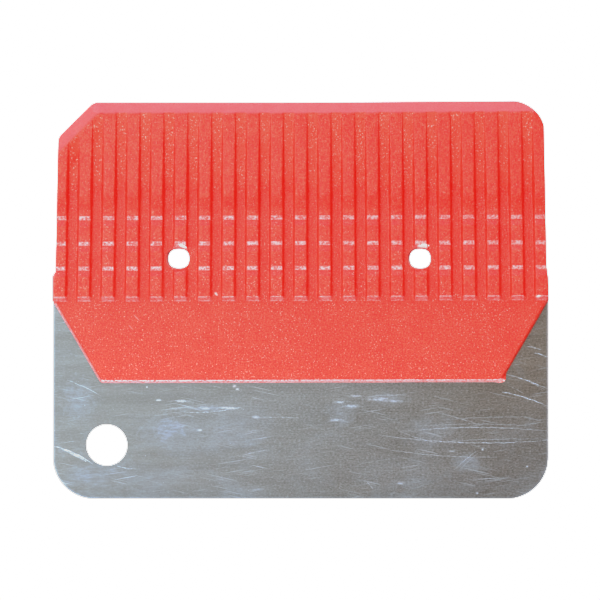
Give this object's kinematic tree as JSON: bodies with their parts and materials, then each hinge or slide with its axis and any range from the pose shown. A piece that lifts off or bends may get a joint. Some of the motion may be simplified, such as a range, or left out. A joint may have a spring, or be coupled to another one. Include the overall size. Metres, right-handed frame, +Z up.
{
  "type": "ski wax scraper",
  "caption": "Flat hand scraper for ski wax: a thin rectangular steel blade with rounded lower corners and a hanging hole, held in a thick ribbed plastic grip moulded over its upper half.",
  "frame": {"origin": "middle of the scraping edge, on the blade's mid-plane", "axes": "+X along the scraping edge to the right seen from the front, +Z up from the scraping edge to the top of the grip, +Y through the thickness from the front face to the back face"},
  "size_m": [0.1204, 0.01, 0.0964],
  "materials": {
    "steel_blade": "rolled and fine-brushed along the blade, with handling scratches and a dull haze",
    "grip": "spark-eroded mould grain, satin"
  },
  "bodies": {
    "root": {"steel_blade": "steel_blade", "grip": "grip"}
  },
  "joints": []
}
